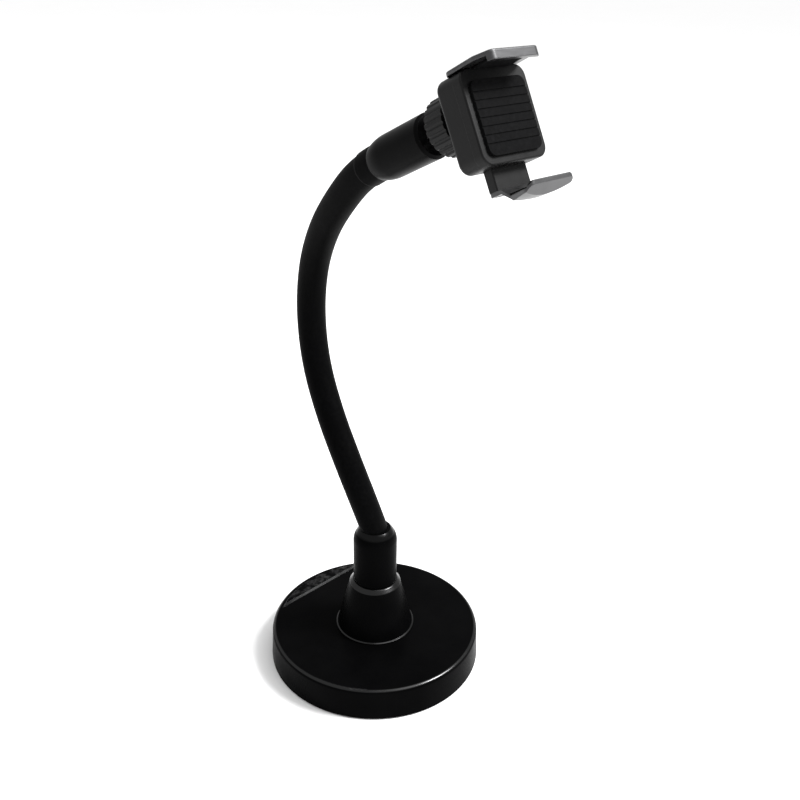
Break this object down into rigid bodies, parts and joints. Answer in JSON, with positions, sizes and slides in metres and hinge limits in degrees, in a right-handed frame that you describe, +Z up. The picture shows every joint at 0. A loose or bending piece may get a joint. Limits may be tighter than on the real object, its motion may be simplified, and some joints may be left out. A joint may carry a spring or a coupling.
{
  "type": "phone stand",
  "caption": "Desk phone stand with a weighted round base, a bendable gooseneck, a locking ball joint and a sprung clamp that grips a phone by its long edges.",
  "frame": {"origin": "centre of the rubber foot's face, on which the stand rests", "axes": "+Z up through the hub; the clamp faces -Y; +X is to the right seen from behind the clamp's open side, looking along +Y"},
  "size_m": [0.1542, 0.2367, 0.4409],
  "materials": {
    "base_black": "satin",
    "weight_iron": "matte",
    "foot_rubber": "matte",
    "plated_steel": "satin",
    "hub_black": "satin",
    "ferrule_black": "satin",
    "plain_aluminium": "satin",
    "neck_rubber": "matte",
    "neck_steel": "satin",
    "ball_steel": "polished",
    "liner_nylon": "matte",
    "holder_black": "satin",
    "grip_rubber": "matte",
    "jaw_silver": "satin",
    "tongue_black": "satin",
    "spring_steel": "satin"
  },
  "bodies": {
    "base": {"base_shell": "base_black", "base_weight": "weight_iron", "bottom_plate": "base_black", "rubber_foot": "foot_rubber", "plate_screws": "plated_steel", "hub_cone": "hub_black", "hub_stud": "plated_steel", "hub_washer": "plated_steel", "hub_nut": "plated_steel", "seam_washer": "foot_rubber", "lower_ferrule": "ferrule_black", "lower_plug": "plain_aluminium", "neck_sleeve_0": "neck_rubber", "neck_core_0": "neck_steel"},
    "neck_1": {"neck_sleeve_1": "neck_rubber", "neck_core_1": "neck_steel"},
    "neck_2": {"neck_sleeve_2": "neck_rubber", "neck_core_2": "neck_steel"},
    "neck_3": {"neck_sleeve_3": "neck_rubber", "neck_core_3": "neck_steel"},
    "neck_4": {"neck_sleeve_4": "neck_rubber", "neck_core_4": "neck_steel"},
    "neck_5": {"neck_sleeve_5": "neck_rubber", "neck_core_5": "neck_steel"},
    "neck_6": {"neck_sleeve_6": "neck_rubber", "neck_core_6": "neck_steel"},
    "neck_7": {"neck_sleeve_7": "neck_rubber", "neck_core_7": "neck_steel"},
    "neck_8": {"neck_sleeve_8": "neck_rubber", "neck_core_8": "neck_steel"},
    "neck_end": {"neck_sleeve_9": "neck_rubber", "neck_core_9": "neck_steel", "upper_ferrule": "ferrule_black"},
    "ball": {"ball_stud": "ball_steel"},
    "liner": {"ball_liner": "liner_nylon"},
    "holder": {"housing_back": "holder_black", "housing_front": "holder_black", "housing_screws": "plated_steel", "grip_pad": "grip_rubber", "guide_rods": "plated_steel", "top_jaw": "jaw_silver", "top_jaw_pad": "grip_rubber", "top_jaw_screws": "plated_steel", "left_spring": "spring_steel", "right_spring": "spring_steel"},
    "lock_ring": {"lock_ring": "holder_black"},
    "slider": {"slide_tongue": "tongue_black", "bottom_jaw": "jaw_silver", "bottom_jaw_pad": "grip_rubber", "bottom_jaw_screws": "plated_steel"}
  },
  "joints": [
    {"name": "neck_bend_1", "type": "hinge", "parent": "base", "child": "neck_1", "pos_m": [-0.0068, 0.00188, 0.12467], "axis": [0.9537, 0.0262, 0.2996], "range_deg": [-18, 18]},
    {"name": "neck_sway_1", "type": "hinge", "parent": "neck_1", "child": "neck_2", "pos_m": [-0.01159, 0.01578, 0.15753], "axis": [0.1126, 0.85, -0.5146], "range_deg": [-18, 18]},
    {"name": "neck_bend_2", "type": "hinge", "parent": "neck_2", "child": "neck_3", "pos_m": [-0.01207, 0.03447, 0.18829], "axis": [0.9935, -0.0894, 0.0698], "range_deg": [-18, 18]},
    {"name": "neck_sway_2", "type": "hinge", "parent": "neck_3", "child": "neck_4", "pos_m": [-0.01103, 0.05024, 0.22064], "axis": [0.1145, 0.9836, -0.1391], "range_deg": [-18, 18]},
    {"name": "neck_bend_3", "type": "hinge", "parent": "neck_4", "child": "neck_5", "pos_m": [-0.01065, 0.05523, 0.25629], "axis": [0.9934, -0.1149, 0.0055], "range_deg": [-18, 18]},
    {"name": "neck_sway_3", "type": "hinge", "parent": "neck_5", "child": "neck_6", "pos_m": [-0.01371, 0.04683, 0.29116], "axis": [0.0744, 0.826, 0.5587], "range_deg": [-18, 18]},
    {"name": "neck_bend_4", "type": "hinge", "parent": "neck_6", "child": "neck_7", "pos_m": [-0.01981, 0.02732, 0.32081], "axis": [0.9828, -0.1559, 0.0995], "range_deg": [-18, 18]},
    {"name": "neck_sway_4", "type": "hinge", "parent": "neck_7", "child": "neck_8", "pos_m": [-0.02696, 0.00174, 0.3451], "axis": [0.0205, 0.6317, 0.7749], "range_deg": [-18, 18]},
    {"name": "neck_bend_5", "type": "hinge", "parent": "neck_8", "child": "neck_end", "pos_m": [-0.03234, -0.02578, 0.36767], "axis": [0.9886, -0.1285, 0.0786], "range_deg": [-18, 18]},
    {"name": "ball_swivel", "type": "hinge", "parent": "neck_end", "child": "ball", "pos_m": [-0.0332, -0.09703, 0.40293], "axis": [-0.0109, -0.8962, 0.4435], "range_deg": [-180, 180]},
    {"name": "ball_tilt", "type": "hinge", "parent": "ball", "child": "liner", "pos_m": [-0.0332, -0.09703, 0.40293], "axis": [1, 0, 0], "range_deg": [-34, 35]},
    {"name": "holder_roll", "type": "hinge", "parent": "liner", "child": "holder", "pos_m": [-0.0332, -0.09703, 0.40293], "axis": [0, -0.8878, 0.4602], "range_deg": [-180, 180]},
    {"name": "lock_ring_turn", "type": "hinge", "parent": "holder", "child": "lock_ring", "pos_m": [-0.0332, -0.09703, 0.40293], "axis": [0, -0.8878, 0.4602], "range_deg": [0, 180]},
    {"name": "jaw_slide", "type": "slide", "parent": "holder", "child": "slider", "axis": [0, 0.4602, 0.8878], "range_m": [-0.009, 0.009], "stiffness_N_per_m": 300, "springref_m": 0.012, "deforming": ["left_spring", "right_spring"]}
  ]
}
